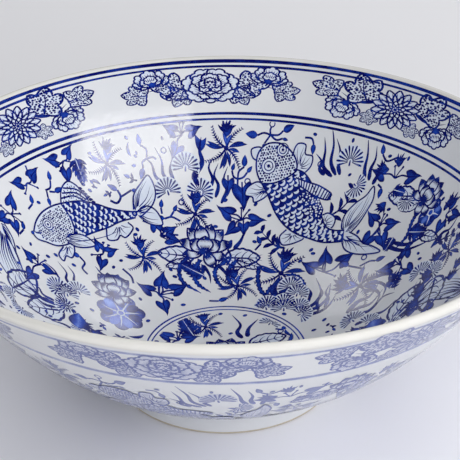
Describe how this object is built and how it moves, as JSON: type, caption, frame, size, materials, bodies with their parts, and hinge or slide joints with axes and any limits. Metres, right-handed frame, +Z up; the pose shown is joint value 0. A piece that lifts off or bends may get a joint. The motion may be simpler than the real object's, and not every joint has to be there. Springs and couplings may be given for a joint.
{
  "type": "porcelain serving bowl",
  "caption": "Wide open porcelain serving bowl with a rounded ivory lip, a turned foot ring and a cobalt pond pattern printed under clear glaze.",
  "frame": {"origin": "middle of the foot ring, on the surface that the bowl stands on", "axes": "+Z up along the axis that the bowl was turned about; X and Y are alike"},
  "size_m": [0.356, 0.356, 0.1288],
  "materials": {
    "biscuit": "bare fired porcelain, matt",
    "foot_biscuit": "bare fired porcelain, wiped and slightly toasted at the bearing edge",
    "clear_glaze": "glossy feldspathic glaze, faintly cool white",
    "ivory_lip": "glossy ivory dressing on the edge",
    "cobalt_print": "cobalt blue washes and lines under the glaze"
  },
  "bodies": {
    "root": {"body": "biscuit", "foot_ring": "foot_biscuit", "base_glaze": "clear_glaze", "inner_glaze": "clear_glaze", "outer_glaze": "clear_glaze", "lip_dressing": "ivory_lip", "roundel_print": "cobalt_print", "inner_field_print": "cobalt_print", "inner_border_print": "cobalt_print", "outer_field_print": "cobalt_print", "outer_border_print": "cobalt_print"}
  },
  "joints": []
}
